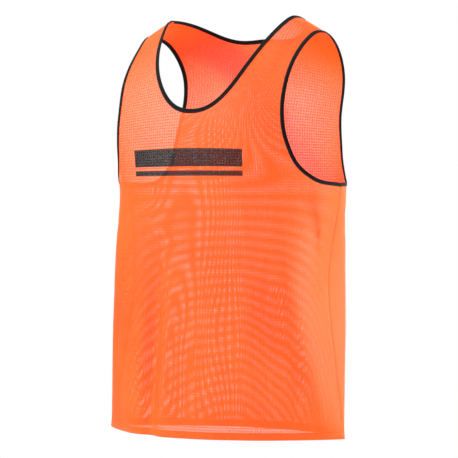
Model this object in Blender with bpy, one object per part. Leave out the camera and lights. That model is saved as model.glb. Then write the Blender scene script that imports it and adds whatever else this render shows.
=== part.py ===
"""Training bib: a sleeveless mesh vest in its worn shape, hollow, with nobody in it.

Two cut panels, front and back, meet at the side seams and over the shoulders. Each
lower edge is turned up inside once as a hem. A narrow strip is folded over the neck
edge and over each armhole edge.

Each panel is drawn as a flat cut in two coordinates, across (arc length from the
centre line) and up (cloth length from the hem). place() lays that cut on the worn
form, which is a stack of rings from a short table. Metres, +Z up, the front faces -Y,
the wearer's left is +X, and the origin is where the shoulders carry the garment.
"""
import bpy
import bmesh
import numpy as np
from mathutils import Vector
from mathutils.geometry import delaunay_2d_cdt

NAME = "training_bib"

# Worn size
HEIGHT = 0.701            # hem to the high points of the shoulders, beside the neck
SHOULDER_SLOPE = 0.566    # fall of the shoulder line for each metre outwards
SLOPE_ROUNDING = 0.0475   # rounds the shoulder line at the centre
SLOPE_START = 0.40        # height where the rows of the cloth begin to follow the shoulders
TURN_DEPTH = {"front": 0.113, "back": 0.149}   # height over which each side turns to the ridge

# Cut of the panels
NECK_HALF_WIDTH = 0.1235
NECK = {
    # drop below the shoulder ridge, and the two roundings of the scoop
    "front": {"drop": 0.231, "across": 2.28, "down": 1.55},
    "back": {"drop": 0.140, "across": 2.9, "down": 1.5},
}
SHOULDER_TIP = 0.1765     # half width between the outer ends of the shoulder seams
ARMHOLE_FOOT = 0.4215     # height where the armhole meets the side seam
HEM_RISE = 0.002          # the corners of the hem sit this much above its middle
HEM_DEPTH = 0.0125        # height of the turned-up hem

# Cloth and strip
WALL = 0.0012
GAP = 0.0003
STRIP_WIDTH = 0.0058
STRIP_WALL = 0.0010
HALF_ROUND_STEPS = 4      # facets around the fold of the strip

# Where the shoulders carry the garment, in the middle of the two straps
REST = (0.0, 0.0275, 0.685)

# Spacing of the mesh
EDGE_STEP = 0.011
HEM_STEP = 0.018
INNER_STEP = 0.025
INNER_CLEARANCE = 0.6     # share of the inner step kept clear beside every edge line
SEAM_ROWS = 20
STRAP_ROWS = 4
RING_SAMPLES = 161
LINE_SAMPLES = 401
PROBE = 0.002             # step used to measure the cloth's slope
LONGEST_MITRE = 1.6
SAME_POINT = 1e-5         # points nearer than this are one point
ON_LINE = 1e-4            # points nearer to the hem than this lie on it
SHARP_ANGLE = np.radians(50)

# The worn form, a row for each ring. Depths are from the seam line to the middle.
RING_COLUMNS = ("height", "half_width", "front", "back", "seam_y", "flatness", "roundness")
RINGS = np.array([
    (0.000, 0.2360, 0.1200, 0.1200, 0.0028, 2.00, 1.10),
    (0.114, 0.2160, 0.1220, 0.1225, 0.0074, 2.45, 2.00),
    (0.266, 0.1975, 0.1260, 0.1275, 0.0144, 2.70, 3.20),
    (0.418, 0.2140, 0.1295, 0.1295, 0.0233, 2.20, 1.85),
    (0.532, 0.2245, 0.1025, 0.1360, 0.0043, 2.45, 2.45),
    (0.627, 0.2275, 0.0685, 0.1535, 0.0075, 2.70, 3.20),
    (0.701, 0.2195, 0.0435, 0.1505, 0.0275, 2.40, 3.20),
])

# The armhole's cut: share of the way down from the shoulder to the side seam, and
# how far from the centre line each edge lies there. It ends on the side seam.
ARMHOLE_COLUMNS = ("down", "front", "back")
ARMHOLE = np.array([
    (0.000, SHOULDER_TIP, SHOULDER_TIP),
    (0.130, 0.1719, 0.1716),
    (0.300, 0.1666, 0.1690),
    (0.480, 0.1654, 0.1662),
    (0.650, 0.1669, 0.1672),
    (0.800, 0.1765, 0.1771),
    (0.910, 0.1931, 0.1888),
    (0.975, 0.2220, 0.2080),
])

# Soft hanging folds: across at the foot, lean (across for each metre up), foot and
# head heights, half width, and depth inwards (a negative depth stands proud).
FOLD_COLUMNS = ("across", "lean", "foot", "head", "half_width", "depth")
FOLDS = {
    "front": np.array([
        (-0.082, 0.06, -0.20, 0.34, 0.020, 0.0042),
        (-0.045, 0.04, -0.16, 0.30, 0.020, -0.0030),
        (-0.150, -0.10, -0.10, 0.36, 0.024, 0.0035),
        (0.085, -0.05, -0.18, 0.30, 0.026, 0.0034),
        (0.212, -0.13, -0.05, 0.42, 0.020, -0.0036),
        (0.168, -0.10, -0.10, 0.38, 0.018, 0.0030),
    ]),
    "back": np.array([
        (-0.120, 0.08, -0.20, 0.40, 0.026, 0.0050),
        (-0.055, 0.03, -0.15, 0.46, 0.022, -0.0038),
        (0.015, -0.02, -0.20, 0.38, 0.028, 0.0042),
        (0.095, -0.06, -0.16, 0.44, 0.024, -0.0036),
        (0.145, -0.09, -0.20, 0.36, 0.024, 0.0044),
        (-0.195, 0.10, -0.10, 0.34, 0.022, -0.0030),
    ]),
}

# Finishes: colour, roughness
ORANGE = ((0.95, 0.16, 0.035, 1.0), 0.72)
BLACK = ((0.012, 0.012, 0.013, 1.0), 0.80)


def smooth(knots, values, at):
    """Read a smooth curve through the given values."""
    slope = np.gradient(values, knots)
    i = np.clip(np.searchsorted(knots, at) - 1, 0, len(knots) - 2)
    step = knots[i + 1] - knots[i]
    t = (at - knots[i]) / step
    start = (1 + 2 * t) * (1 - t) ** 2 * values[i] + t * (1 - t) ** 2 * step * slope[i]
    end = t * t * (3 - 2 * t) * values[i + 1] + t * t * (t - 1) * step * slope[i + 1]
    return start + end


def ring_value(column, height):
    """One column of the ring table at any height."""
    return smooth(RINGS[:, 0], RINGS[:, RING_COLUMNS.index(column)], height)


def ridge(side):
    """Cloth length from the hem to the shoulder ridge."""
    return HEIGHT + TURN_DEPTH[side] * (np.pi / 2 - 1)


def worn_height(up, side):
    """Height of a row of cloth, and how much of its depth is left as it turns to the ridge."""
    start = HEIGHT - TURN_DEPTH[side]
    turn = np.clip((up - start) / TURN_DEPTH[side], 0, np.pi / 2)
    height = np.where(up < start, up, start + TURN_DEPTH[side] * np.sin(turn))
    return height, np.cos(turn)


def half_rings(up, side):
    """Half of the ring at each row: its height, and x, y and arc length along it."""
    height, depth_left = worn_height(up, side)
    sine = np.sin(np.linspace(0, np.pi / 2, RING_SAMPLES))[None]
    half_width = ring_value("half_width", height)[:, None]
    depth = (ring_value(side, height) * depth_left)[:, None]
    flatness = ring_value("flatness", height)[:, None]
    roundness = ring_value("roundness", height)[:, None]
    x = half_width * sine
    y = depth * np.clip(1 - sine ** flatness, 0, 1) ** (1 / roundness)
    steps = np.hypot(np.diff(x, axis=1), np.diff(y, axis=1))
    arc = np.concatenate([np.zeros((len(x), 1)), np.cumsum(steps, 1)], 1)
    return height, x, y, arc


def seam(up, side):
    """Distance across from the centre line to the side seam."""
    return half_rings(np.atleast_1d(np.asarray(up, float)), side)[3][:, -1]


def fold_depth(across, up, side):
    """How far the hanging folds pull the cloth inwards."""
    total = np.zeros(len(across))
    for row in FOLDS[side]:
        fold = dict(zip(FOLD_COLUMNS, row))
        share = np.clip((up - fold["foot"]) / (fold["head"] - fold["foot"]), 0, 1)
        middle = fold["across"] + fold["lean"] * up
        bell = np.exp(-((across - middle) / fold["half_width"]) ** 2)
        total += fold["depth"] * bell * np.sin(np.pi * share) ** 2
    return total


def place(across, up, side):
    """Lay points of the flat cut on the worn form."""
    across = np.atleast_1d(np.asarray(across, float))
    up = np.atleast_1d(np.asarray(up, float))
    height, ring_x, ring_y, arc = half_rings(up, side)
    row = np.arange(len(up))
    k = np.clip((arc < np.abs(across)[:, None]).sum(1) - 1, 0, RING_SAMPLES - 2)
    t = np.clip((np.abs(across) - arc[row, k]) / (arc[row, k + 1] - arc[row, k]), 0, 1)
    x = ring_x[row, k] + t * (ring_x[row, k + 1] - ring_x[row, k])
    y = ring_y[row, k] + t * (ring_y[row, k + 1] - ring_y[row, k])
    lift = np.clip((height - SLOPE_START) / (HEIGHT - SLOPE_START), 0, 1) ** 2
    fall = np.hypot(x, SLOPE_ROUNDING) - np.hypot(NECK_HALF_WIDTH, SLOPE_ROUNDING)
    out = y - fold_depth(across, up, side)
    facing = -1 if side == "front" else 1
    return np.stack([
        np.sign(across) * x - REST[0],
        ring_value("seam_y", height) + facing * out - REST[1],
        height - SHOULDER_SLOPE * lift * fall - REST[2],
    ], -1)


def unit(vectors):
    return vectors / np.linalg.norm(vectors, axis=-1, keepdims=True)


def surface(across, up, side):
    """Points of the cloth's outer face, and the outward step for each unit of thickness.

    On a seam that step lies in the plane between the panels, so their walls meet in a
    mitre, and the points stand half a gap back from that plane.
    """
    across = np.atleast_1d(np.asarray(across, float))
    up = np.atleast_1d(np.asarray(up, float))
    width = seam(up, side)
    top = ridge(side)
    right = np.minimum(across + PROBE, width)
    left = np.maximum(across - PROBE, -width)
    along_x = place(right, up, side) - place(left, up, side)
    above = np.minimum(up + PROBE, top)
    below = up - PROBE
    reach = across / width
    along_z = (place(reach * seam(above, side), above, side)
               - place(reach * seam(below, side), below, side))
    normal = unit(np.cross(along_x, along_z))
    if side == "back":
        normal = -normal
    points = place(across, up, side)
    on_seam = (np.abs(across) > width - SAME_POINT) | (up > top - SAME_POINT)
    flat = unit(normal * np.array([1.0, 0.0, 1.0]))
    mitre = flat / np.maximum((flat * normal).sum(1), 1 / LONGEST_MITRE)[:, None]
    step = np.where(on_seam[:, None], mitre, normal)
    points[on_seam, 1] += (-GAP if side == "front" else GAP) / 2
    return points, step


def resample(line, spacing):
    """Points at an even spacing along a finely drawn line."""
    steps = np.linalg.norm(np.diff(line, axis=0), axis=1)
    length = np.concatenate([[0], np.cumsum(steps)])
    count = max(2, round(length[-1] / spacing) + 1)
    at = np.linspace(0, length[-1], count)
    return np.stack([np.interp(at, length, line[:, 0]), np.interp(at, length, line[:, 1])], -1)


def neckline(side):
    """Neck edge from the -X shoulder down to the middle and up to the +X shoulder."""
    turn = np.linspace(-np.pi / 2, np.pi / 2, LINE_SAMPLES)
    cut = NECK[side]
    across = NECK_HALF_WIDTH * np.sign(turn) * np.abs(np.sin(turn)) ** (2 / cut["across"])
    up = ridge(side) - cut["drop"] * np.clip(np.cos(turn), 0, 1) ** (2 / cut["down"])
    return resample(np.stack([across, up], -1), EDGE_STEP)


def armhole(side):
    """Armhole edge of the +X half from the side seam up to the shoulder tip."""
    top = ridge(side)
    rows = ARMHOLE[:, ARMHOLE_COLUMNS.index(side)]
    # one more row above the shoulder, like the next one down, turns the edge square to it
    down = np.concatenate([[-ARMHOLE[1, 0]], ARMHOLE[:, 0], [1.0]])
    across = np.concatenate([[rows[1]], rows, seam(ARMHOLE_FOOT, side)])
    up = top + (ARMHOLE_FOOT - top) * down
    chord = np.concatenate([[0], np.cumsum(np.hypot(np.diff(across), np.diff(up)))])
    at = np.linspace(chord[1], chord[-1], LINE_SAMPLES)
    line = np.stack([smooth(chord, across, at), smooth(chord, up, at)], -1)
    return resample(line[::-1], EDGE_STEP)


def hem(side):
    """Hem edge from the -X corner to the +X corner."""
    width = seam(HEM_RISE, side)[0]
    count = round(2 * width / HEM_STEP) + 1
    across = np.linspace(-width, width, count)
    return np.stack([across, HEM_RISE * (across / width) ** 2], -1)


def raised(line, side, by):
    """The hem line moved up the cloth, still reaching from seam to seam."""
    up = line[:, 1] + by
    return np.stack([line[:, 0] * seam(up, side) / seam(line[:, 1], side), up], -1)


def inset(line, by):
    """A line moved to its left on the flat cut, by the width of the strip."""
    along = unit(np.gradient(line, axis=0))
    return line + by * np.stack([-along[:, 1], along[:, 0]], -1)


def neck_inset(side):
    """Inner edge of the strip along the neck, with its ends on the shoulder seam."""
    line = inset(neckline(side), -STRIP_WIDTH)
    reach = NECK_HALF_WIDTH + STRIP_WIDTH
    line[0] = (-reach, ridge(side))
    line[-1] = (reach, ridge(side))
    return line


def armhole_inset(side):
    """Inner edge of the strip along the armhole, with its ends on the two seams."""
    line = inset(armhole(side), STRIP_WIDTH)
    foot = ARMHOLE_FOOT - STRIP_WIDTH
    line[0] = (seam(foot, side)[0], foot)
    line[-1] = (SHOULDER_TIP - STRIP_WIDTH, ridge(side))
    return line


def side_seam(side):
    """Side seam of the +X half from the hem to the armhole."""
    rows = np.linspace(HEM_RISE + HEM_DEPTH, ARMHOLE_FOOT - STRIP_WIDTH, SEAM_ROWS)
    up = np.concatenate([[HEM_RISE], rows, [ARMHOLE_FOOT]])
    return np.stack([seam(up, side), up], -1)


def shoulder_seam(side):
    """Shoulder seam of the +X half from the tip to the neck."""
    strap = np.linspace(SHOULDER_TIP - STRIP_WIDTH, NECK_HALF_WIDTH + STRIP_WIDTH, STRAP_ROWS)
    stops = [SHOULDER_TIP, *strap, NECK_HALF_WIDTH]
    return np.array([(stop, ridge(side)) for stop in stops])


def mirrored(line):
    """The same line on the other half of the panel, run the other way."""
    return line[::-1] * np.array([-1.0, 1.0])


class FlatCut:
    """Points and edges of a panel's cut, with shared points kept once."""

    def __init__(self):
        self.points = []
        self.edges = []
        self.known = {}

    def index(self, point):
        key = (round(point[0] / SAME_POINT), round(point[1] / SAME_POINT))
        if key not in self.known:
            self.known[key] = len(self.points)
            self.points.append((float(point[0]), float(point[1])))
        return self.known[key]

    def add_line(self, line):
        ids = [self.index(point) for point in line]
        self.edges += list(zip(ids[:-1], ids[1:]))


def distance_to_edges(points, cut):
    """Distance from each point to the nearest edge of the cut."""
    ends = np.array(cut.points)[np.array(cut.edges)]
    start, run = ends[:, 0], ends[:, 1] - ends[:, 0]
    away = points[:, None] - start[None]
    t = np.clip((away * run).sum(2) / (run ** 2).sum(1), 0, 1)
    return np.linalg.norm(away - t[..., None] * run[None], axis=2).min(1)


def inside(points, outline):
    """True for the points that lie inside a closed outline."""
    x, y = points[:, 0][:, None], points[:, 1][:, None]
    x0, y0 = outline[:, 0], outline[:, 1]
    x1, y1 = np.roll(x0, -1), np.roll(y0, -1)
    crosses = (y0 > y) != (y1 > y)
    rise = np.where(y1 == y0, 1e-12, y1 - y0)
    return ((x < (x1 - x0) * (y - y0) / rise + x0) & crosses).sum(1) % 2 == 1


def fill_points(cut, outline, spacing):
    """Staggered points that fill the cut, clear of its lines."""
    rows = np.arange(0, outline[:, 1].max(), spacing * np.sqrt(3) / 2)
    found = []
    for n, up in enumerate(rows):
        half = np.arange(0.5 * (n % 2) * spacing, outline[:, 0].max(), spacing)
        across = np.concatenate([-half[half > 0][::-1], half])
        found += [(x, up) for x in across]
    found = np.array(found)
    keep = inside(found, outline) & (distance_to_edges(found, cut) > INNER_CLEARANCE * spacing)
    return found[keep]


def panel_cut(side):
    """The panel's flat cut as triangles: its points, faces and hem points."""
    half = [side_seam(side), armhole(side), shoulder_seam(side)]
    loop = [hem(side)] + half + [neckline(side)[::-1]]
    loop += [mirrored(line) for line in reversed(half)]
    cut = FlatCut()
    for line in loop:
        cut.add_line(line)
    outline = np.array(cut.points)
    cut.add_line(raised(hem(side), side, HEM_DEPTH))
    cut.add_line(neck_inset(side))
    cut.add_line(armhole_inset(side))
    cut.add_line(mirrored(armhole_inset(side)))
    fill = fill_points(cut, outline, INNER_STEP)
    flat = [Vector(p) for p in cut.points] + [Vector(p) for p in fill]
    verts, _, faces, *_ = delaunay_2d_cdt(flat, cut.edges, [], 1, SAME_POINT / 10)
    return np.array([tuple(v) for v in verts]), [tuple(f) for f in faces]


def new_object(name, mesh, material, collection):
    mesh.materials.append(material)
    mesh.shade_smooth()
    mesh.set_sharp_from_angle(angle=SHARP_ANGLE)
    made = bpy.data.objects.new(name, mesh)
    collection.objects.link(made)
    return made


def finish_mesh(bm, name):
    """Turn all faces outwards and hand the mesh over."""
    bmesh.ops.recalc_face_normals(bm, faces=bm.faces)
    mesh = bpy.data.meshes.new(name)
    bm.to_mesh(mesh)
    bm.free()
    return mesh


def hem_profile(flat, side):
    """Corners of the turned-up hem at each hem point, from its fold round to the wall."""
    base, base_step = surface(*flat.T, side)
    rim, rim_step = surface(*raised(flat, side, WALL).T, side)
    head, head_step = surface(*raised(flat, side, HEM_DEPTH).T, side)
    near = WALL + GAP
    far = near + WALL
    return [base - far * base_step, head - far * head_step, head - near * head_step,
            rim - near * rim_step, rim - WALL * rim_step]


def panel_mesh(side):
    """A panel: its outer face, its inner face, the rims and the hem turned up inside."""
    flat, faces = panel_cut(side)
    outer, step = surface(*flat.T, side)
    inner = outer - WALL * step
    width = seam(flat[:, 1], side)
    hem_up = HEM_RISE * (flat[:, 0] / width) ** 2
    on_hem = np.flatnonzero(np.abs(flat[:, 1] - hem_up) < ON_LINE)
    bm = bmesh.new()
    out = [bm.verts.new(p) for p in outer]
    corners = hem_profile(flat[on_hem], side)
    chains = {i: [out[i]] for i in range(len(flat))}
    for n, i in enumerate(on_hem):
        chains[i] += [bm.verts.new(corner[n]) for corner in corners]
    for i in range(len(flat)):
        if len(chains[i]) == 1:
            chains[i].append(bm.verts.new(inner[i]))
    for face in faces:
        bm.faces.new([out[i] for i in face])
        bm.faces.new([chains[i][-1] for i in reversed(face)])
    add_rims(bm, faces, chains)
    return finish_mesh(bm, f"{side}_panel")


def add_rims(bm, faces, chains):
    """Close the open edges of the wall, along the hem by way of the turned-up part."""
    used = {}
    for face in faces:
        for a, b in zip(face, face[1:] + face[:1]):
            used[(a, b)] = True
    for a, b in used:
        if (b, a) in used:
            continue
        if len(chains[a]) == len(chains[b]):
            links = list(zip(chains[a], chains[b]))
            for (a0, b0), (a1, b1) in zip(links, links[1:]):
                bm.faces.new([b0, a0, a1, b1])
            continue
        corner, other = (a, b) if len(chains[a]) > len(chains[b]) else (b, a)
        whole, short = chains[corner], chains[other]
        bm.faces.new([whole[0], short[0], short[1], whole[-1]])
        bm.faces.new([whole[0], whole[1], whole[4], whole[5]])
        bm.faces.new([whole[1], whole[2], whole[3], whole[4]])


def stations(edge, inner_edge, side):
    """Edge points and strip edge points of one side, each with its outward step."""
    edge_points, edge_step = surface(*edge.T, side)
    inner_points, inner_step = surface(*inner_edge.T, side)
    return np.stack([edge_points, edge_step, inner_points, inner_step], 1)


def joined_loop(first, second):
    """One closed run of stations; where the two sides meet, one station serves both."""
    ends = [(first[-1] + second[0]) / 2, (second[-1] + first[0]) / 2]
    return np.concatenate([ends[1:], first[1:-1], ends[:1], second[1:-1]])


def strip_section(station):
    """Outline of the folded strip at one station: outer faces, then the slot for the edge."""
    edge, step, inner, inner_step = station
    away = unit(edge - inner)
    near, far = WALL + GAP, WALL + GAP + STRIP_WALL
    middle = edge - step * WALL / 2 + away * GAP
    radius = WALL / 2 + GAP + STRIP_WALL
    outline = [inner + inner_step * (GAP + STRIP_WALL)]
    for turn in np.linspace(0, np.pi, HALF_ROUND_STEPS + 1):
        outline.append(middle + radius * (np.cos(turn) * step + np.sin(turn) * away))
    outline += [inner - inner_step * far, inner - inner_step * near,
                edge - step * near + away * GAP, edge + step * GAP + away * GAP,
                inner + inner_step * GAP]
    return outline


def strip_mesh(loop, name):
    """Sweep the folded strip around a closed run of stations."""
    bm = bmesh.new()
    rings = [[bm.verts.new(p) for p in strip_section(station)] for station in loop]
    for ring, following in zip(rings, rings[1:] + rings[:1]):
        pairs = list(zip(ring, following))
        for (a, b), (c, d) in zip(pairs, pairs[1:] + pairs[:1]):
            bm.faces.new([a, b, d, c])
    return finish_mesh(bm, name)


def neck_loop():
    front = stations(neckline("front"), neck_inset("front"), "front")
    back = stations(neckline("back")[::-1], neck_inset("back")[::-1], "back")
    return joined_loop(front, back)


def armhole_loop(left):
    """Stations up the front of one armhole and down its back."""
    flip = np.array([1.0 if left else -1.0, 1.0])
    front = stations(armhole("front") * flip, armhole_inset("front") * flip, "front")
    back = stations(armhole("back") * flip, armhole_inset("back") * flip, "back")
    return joined_loop(front, back[::-1])


def make_material(name, finish):
    colour, roughness = finish
    material = bpy.data.materials.new(name)
    material.use_nodes = True
    shader = material.node_tree.nodes["Principled BSDF"]
    shader.inputs["Base Color"].default_value = colour
    shader.inputs["Roughness"].default_value = roughness
    shader.inputs["Metallic"].default_value = 0.0
    material.diffuse_color = colour
    return material


def main():
    for old in list(bpy.data.objects):
        bpy.data.objects.remove(old)
    collection = bpy.data.collections.new(NAME)
    bpy.context.scene.collection.children.link(collection)
    cloth = make_material("orange_mesh", ORANGE)
    strip = make_material("black_binding", BLACK)
    for side in ("front", "back"):
        new_object(f"{side}_panel", panel_mesh(side), cloth, collection)
    new_object("neck_binding", strip_mesh(neck_loop(), "neck_binding"), strip, collection)
    for hand in ("left", "right"):
        name = f"armhole_binding_{hand}"
        new_object(name, strip_mesh(armhole_loop(hand == "left"), name), strip, collection)


main()
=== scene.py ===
# %% [markdown]
# # A training bib in open mesh
# A training bib is the thin vest that tells two sides apart in practice. It is a very
# plain garment: a front, a back, two side seams, two shoulder seams, a turned-up hem and
# a dark strip folded over the neck and the armholes. Its cloth is a net, so half of its
# look is what shows through the holes: the far side, and the light behind it.
#
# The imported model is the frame. It has the true size and shape of each cut piece as a
# rigid wall, and every fine piece made here takes the place of one of those walls.

# %% Load the frame
import math
from functools import partialmethod

import bmesh
import bpy
import numpy as np
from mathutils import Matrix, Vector
from mathutils.geometry import delaunay_2d_cdt


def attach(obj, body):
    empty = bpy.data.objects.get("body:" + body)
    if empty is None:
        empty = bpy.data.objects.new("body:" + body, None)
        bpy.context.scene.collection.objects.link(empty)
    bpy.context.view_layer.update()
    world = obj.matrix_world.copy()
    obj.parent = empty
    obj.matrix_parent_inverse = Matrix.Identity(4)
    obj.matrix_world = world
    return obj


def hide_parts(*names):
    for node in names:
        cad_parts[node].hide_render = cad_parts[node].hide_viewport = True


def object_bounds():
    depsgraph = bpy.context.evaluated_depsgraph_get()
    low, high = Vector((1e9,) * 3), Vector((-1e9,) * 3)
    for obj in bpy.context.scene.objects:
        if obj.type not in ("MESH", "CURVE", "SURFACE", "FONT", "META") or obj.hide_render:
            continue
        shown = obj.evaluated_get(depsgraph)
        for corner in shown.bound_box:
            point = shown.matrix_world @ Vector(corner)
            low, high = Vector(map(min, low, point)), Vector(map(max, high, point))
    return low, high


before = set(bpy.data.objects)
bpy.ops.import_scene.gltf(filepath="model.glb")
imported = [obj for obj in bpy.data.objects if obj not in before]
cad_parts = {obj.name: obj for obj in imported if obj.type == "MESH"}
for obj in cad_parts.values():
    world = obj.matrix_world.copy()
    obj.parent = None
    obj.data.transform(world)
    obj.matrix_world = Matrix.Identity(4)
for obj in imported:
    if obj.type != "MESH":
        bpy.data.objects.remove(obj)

cad_low, cad_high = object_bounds()
scene = bpy.context.scene
print("frame, low corner:", [round(v, 4) for v in cad_low])
print("frame, high corner:", [round(v, 4) for v in cad_high])

# %% [markdown]
# ## The camera
# The photograph was taken from far away with a long lens, so the bib hardly narrows
# towards its far side. The camera stands to the wearer's left, level with the middle of
# the garment, and looks down by less than a degree. The place was worked out once from
# the straight cut of the side seams, the hem and the neckline.

# %% Camera
PICTURE_SIDE = 458               # pixels
FOCAL_LENGTH = 2627.4            # in pixels of the picture
SENSOR = 36.0                    # millimetres
CAMERA_SPOT = (2.426, -3.735, -0.280)
CAMERA_HEADING = math.radians(33.084)
CAMERA_PITCH = math.radians(-0.777)

camera_data = bpy.data.cameras.new("camera")
camera_data.sensor_width = SENSOR
camera_data.lens = SENSOR * FOCAL_LENGTH / PICTURE_SIDE
camera = bpy.data.objects.new("camera", camera_data)
scene.collection.objects.link(camera)
camera.location = CAMERA_SPOT
camera.rotation_euler = (math.pi / 2 + CAMERA_PITCH, 0.0, CAMERA_HEADING)
scene.camera = camera
print("lens:", round(camera_data.lens, 1), "mm")

# %% [markdown]
# ## Floor and light
# A catalogue picture of a bib is lit from all round, on white. A white world gives that,
# and it is also what shows through the mesh. One soft lamp in front on the left and one
# on the right draw the light and shade of the folds. A third stands above, and a weak one
# behind lights what is seen through the holes. The floor lies as far below the hem as a
# wearer's feet would.

# %% Floor, world and lamps
FLOOR_DROP = 0.90                # hem to floor
FLOOR_SIDE = 7.0
FLOOR_COLOUR = (0.86, 0.86, 0.85, 1.0)
FLOOR_ROUGHNESS = 0.9
WORLD_COLOUR = (1.0, 1.0, 1.0, 1.0)
WORLD_SEEN = 1.0                 # how bright the studio looks, also through the mesh
WORLD_LIGHT = 0.30               # and how much light it gives
LAMPS = (                        # name, place, aim, side of its square, watts
    ("key", (-2.1, -2.8, 1.4), (0.0, 0.0, -0.20), 0.7, 152.0),
    ("side", (3.2, 1.4, 0.2), (0.0, 0.0, -0.35), 0.9, 158.0),
    ("top", (-1.4, 0.4, 2.3), (0.0, 0.0, 0.0), 0.9, 55.0),
    ("behind", (0.4, 3.5, 0.5), (0.0, 0.0, -0.30), 1.2, 45.0),
)

scene.view_settings.view_transform = "Standard"
scene.render.film_transparent = False
world = bpy.data.worlds.new("white_studio")
world.use_nodes = True
background = world.node_tree.nodes["Background"]
background.inputs["Color"].default_value = WORLD_COLOUR
# seen straight on, and through the mesh, the studio is white; as a light it is softer
seen = world.node_tree.nodes.new("ShaderNodeLightPath")
level = world.node_tree.nodes.new("ShaderNodeMapRange")
level.inputs["To Min"].default_value = WORLD_LIGHT
level.inputs["To Max"].default_value = WORLD_SEEN
world.node_tree.links.new(seen.outputs["Is Camera Ray"], level.inputs["Value"])
world.node_tree.links.new(level.outputs["Result"], background.inputs["Strength"])
scene.world = world

floor_z = cad_low.z - FLOOR_DROP
bpy.ops.mesh.primitive_plane_add(size=FLOOR_SIDE, location=(0.0, 0.0, floor_z))
floor = bpy.context.object
floor.name = "floor"
floor_paint = bpy.data.materials.new("floor_paint")
floor_paint.use_nodes = True
floor_shader = floor_paint.node_tree.nodes["Principled BSDF"]
floor_shader.inputs["Base Color"].default_value = FLOOR_COLOUR
floor_shader.inputs["Roughness"].default_value = FLOOR_ROUGHNESS
floor.data.materials.append(floor_paint)

for name, spot, aim, side, watts in LAMPS:
    lamp_data = bpy.data.lights.new(name, "AREA")
    lamp_data.size = side
    lamp_data.energy = watts
    lamp = bpy.data.objects.new(name, lamp_data)
    lamp.location = spot
    lamp.rotation_euler = (Vector(aim) - Vector(spot)).to_track_quat("-Z", "Y").to_euler()
    scene.collection.objects.link(lamp)
print("lamps:", len(LAMPS), " floor at", round(floor_z, 3))

# %% [markdown]
# ## The worn form
# Cloth keeps its length. So every panel is drawn as a flat cut in two coordinates:
# *across* is the arc length from the centre line and *up* is the length of cloth from the
# hem. A stack of rings then says where each row of that cut goes on a body. The rings are
# the ones that the frame was made from, so the fine cloth lies exactly on the solids.

# %% Rings of the worn form
HEIGHT = 0.701                   # hem to the high points of the shoulders, beside the neck
SHOULDER_SLOPE = 0.566
SLOPE_ROUNDING = 0.0475
SLOPE_START = 0.40
TURN_DEPTH = {"front": 0.113, "back": 0.149}
REST = (0.0, 0.0275, 0.685)      # where the shoulders carry the garment
RING_SAMPLES = 161
MEASURED_ROW = 0.2               # the cut's width is printed for this row
RING_COLUMNS = ("height", "half_width", "front", "back", "seam_y", "flatness", "roundness")
RINGS = np.array([
    (0.000, 0.2360, 0.1200, 0.1200, 0.0028, 2.00, 1.10),
    (0.114, 0.2160, 0.1220, 0.1225, 0.0074, 2.45, 2.00),
    (0.266, 0.1975, 0.1260, 0.1275, 0.0144, 2.70, 3.20),
    (0.418, 0.2140, 0.1295, 0.1295, 0.0233, 2.20, 1.85),
    (0.532, 0.2245, 0.1025, 0.1360, 0.0043, 2.45, 2.45),
    (0.627, 0.2275, 0.0685, 0.1535, 0.0075, 2.70, 3.20),
    (0.701, 0.2195, 0.0435, 0.1505, 0.0275, 2.40, 3.20),
])


def smooth(knots, values, at):
    """Read a smooth curve through the given values."""
    slope = np.gradient(values, knots)
    i = np.clip(np.searchsorted(knots, at) - 1, 0, len(knots) - 2)
    step = knots[i + 1] - knots[i]
    t = (at - knots[i]) / step
    start = (1 + 2 * t) * (1 - t) ** 2 * values[i] + t * (1 - t) ** 2 * step * slope[i]
    end = t * t * (3 - 2 * t) * values[i + 1] + t * t * (t - 1) * step * slope[i + 1]
    return start + end


def ring_value(column, height):
    """One column of the ring table at any height."""
    return smooth(RINGS[:, 0], RINGS[:, RING_COLUMNS.index(column)], height)


def ridge(side):
    """Cloth length from the hem to the shoulder ridge."""
    return HEIGHT + TURN_DEPTH[side] * (np.pi / 2 - 1)


def worn_height(up, side):
    """Height of a row of cloth, and how much of its depth is left as it turns to the ridge."""
    start = HEIGHT - TURN_DEPTH[side]
    turn = np.clip((up - start) / TURN_DEPTH[side], 0, np.pi / 2)
    height = np.where(up < start, up, start + TURN_DEPTH[side] * np.sin(turn))
    return height, np.cos(turn)


def half_rings(up, side):
    """Half of the ring at each row: its height, and x, y and arc length along it."""
    height, depth_left = worn_height(up, side)
    sine = np.sin(np.linspace(0, np.pi / 2, RING_SAMPLES))[None]
    half_width = ring_value("half_width", height)[:, None]
    depth = (ring_value(side, height) * depth_left)[:, None]
    flatness = ring_value("flatness", height)[:, None]
    roundness = ring_value("roundness", height)[:, None]
    x = half_width * sine
    y = depth * np.clip(1 - sine ** flatness, 0, 1) ** (1 / roundness)
    steps = np.hypot(np.diff(x, axis=1), np.diff(y, axis=1))
    arc = np.concatenate([np.zeros((len(x), 1)), np.cumsum(steps, 1)], 1)
    return height, x, y, arc


def seam(up, side):
    """Distance across from the centre line to the side seam."""
    return half_rings(np.atleast_1d(np.asarray(up, float)), side)[3][:, -1]


print("cut width, front and back, metres:",
      [round(2 * float(seam(MEASURED_ROW, side)[0]), 3) for side in ("front", "back")])
print("cut length, front and back:", round(ridge("front"), 3), round(ridge("back"), 3))
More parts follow.
